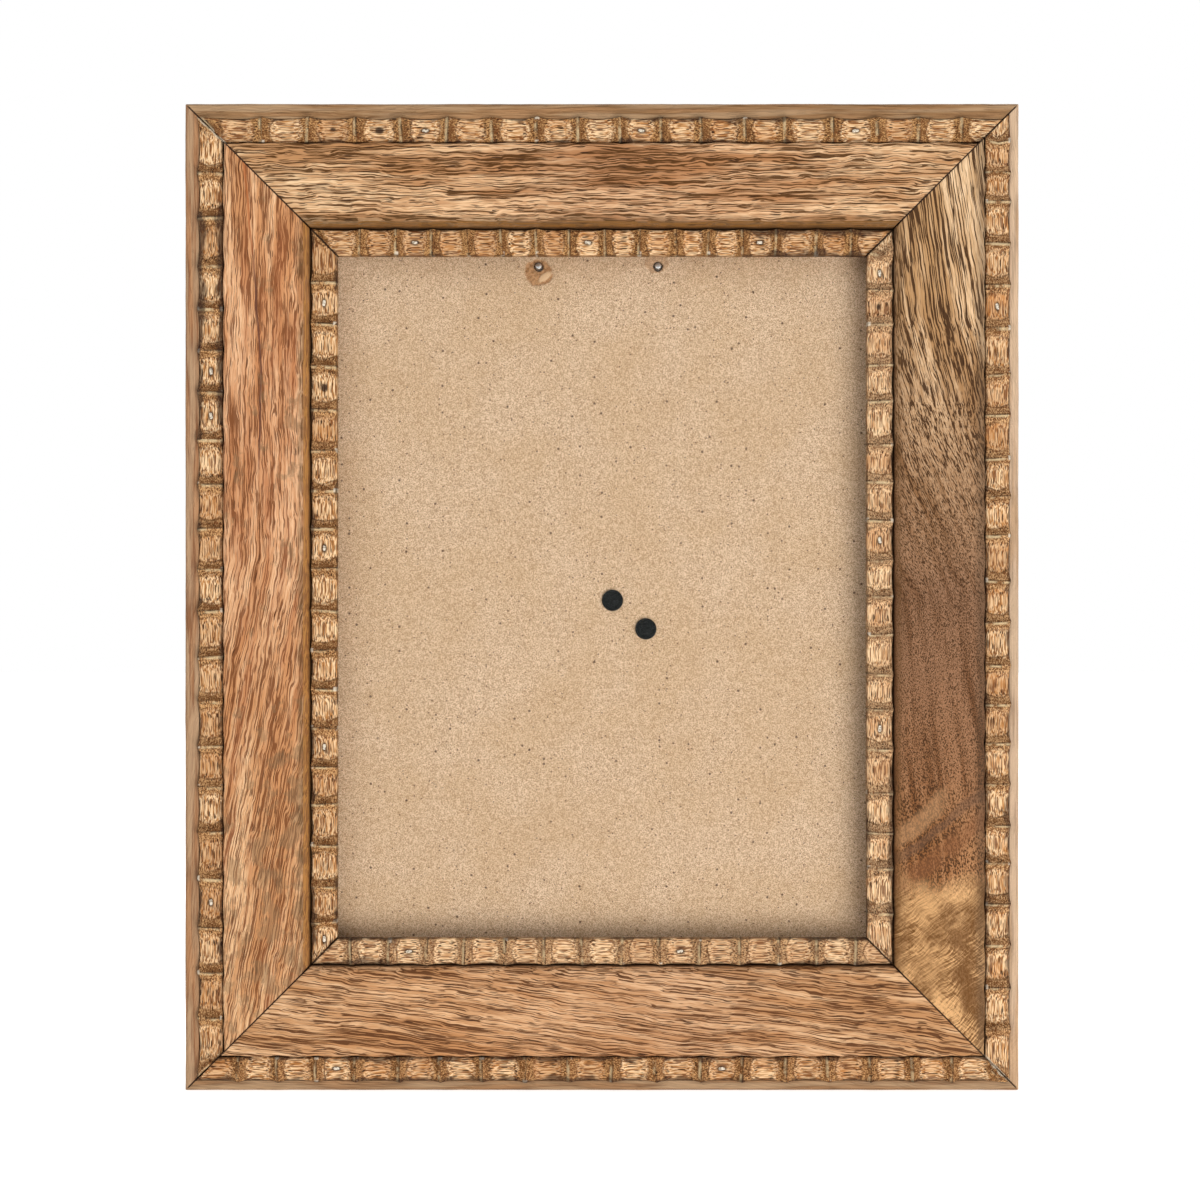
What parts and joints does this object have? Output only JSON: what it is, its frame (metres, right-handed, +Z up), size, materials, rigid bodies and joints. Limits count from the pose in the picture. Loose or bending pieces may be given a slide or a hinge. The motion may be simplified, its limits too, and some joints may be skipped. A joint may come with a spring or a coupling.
{
  "type": "picture frame",
  "caption": "Portrait picture frame of mitred hardwood rails with carved bead strips, a glazed rebate, a fibreboard back with turn buttons, an easel leg and a sawtooth hanger.",
  "frame": {"origin": "middle of the bottom rail's flat underside, which the frame stands on", "axes": "+Z up along the height, +X to the right seen from the front, +Y to the rear (the front faces -Y)"},
  "size_m": [0.3, 0.0231, 0.355],
  "materials": {
    "rail_wood": "waxed, open pored",
    "bead_wood": "gouge carved, waxed",
    "fibreboard": "raw, matt",
    "leg_board": "hardboard, smooth face",
    "black_steel": "black, semi-gloss",
    "zinc_steel": "zinc plated",
    "clear_glass": "polished"
  },
  "bodies": {
    "frame": {"rail_bottom": "rail_wood", "rail_left": "rail_wood", "rail_top": "rail_wood", "rail_right": "rail_wood", "outer_bead_bottom": "bead_wood", "outer_bead_left": "bead_wood", "outer_bead_top": "bead_wood", "outer_bead_right": "bead_wood", "inner_bead_bottom": "bead_wood", "inner_bead_left": "bead_wood", "inner_bead_top": "bead_wood", "inner_bead_right": "bead_wood", "bead_brads": "zinc_steel", "corner_nails": "zinc_steel", "glass_pane": "clear_glass", "backboard": "fibreboard", "hanger_plate": "zinc_steel", "hanger_nails": "zinc_steel", "hinge_board_leaf": "black_steel", "board_rivets": "black_steel", "hinge_pin": "zinc_steel", "button_screws": "zinc_steel"},
    "leg": {"hinge_leg_leaf": "black_steel", "leg_rivets": "black_steel", "easel_leg": "leg_board"},
    "button_upper_left_body": {"button_upper_left": "black_steel"},
    "button_lower_left_body": {"button_lower_left": "black_steel"},
    "button_upper_right_body": {"button_upper_right": "black_steel"},
    "button_lower_right_body": {"button_lower_right": "black_steel"}
  },
  "joints": [
    {"name": "stand_hinge", "type": "hinge", "parent": "frame", "child": "leg", "pos_m": [0.00473, 0.00806, 0.16505], "axis": [0.7604, 0, -0.6494], "range_deg": [0, 33]},
    {"name": "upper_left_turn", "type": "hinge", "parent": "frame", "child": "button_upper_left_body", "pos_m": [-0.11025, 0.00625, 0.2475], "axis": [0, 1, 0], "continuous": true},
    {"name": "lower_left_turn", "type": "hinge", "parent": "frame", "child": "button_lower_left_body", "pos_m": [-0.11025, 0.00625, 0.1075], "axis": [0, 1, 0], "continuous": true},
    {"name": "upper_right_turn", "type": "hinge", "parent": "frame", "child": "button_upper_right_body", "pos_m": [0.11025, 0.00625, 0.2475], "axis": [0, 1, 0], "continuous": true},
    {"name": "lower_right_turn", "type": "hinge", "parent": "frame", "child": "button_lower_right_body", "pos_m": [0.11025, 0.00625, 0.1075], "axis": [0, 1, 0], "continuous": true}
  ]
}
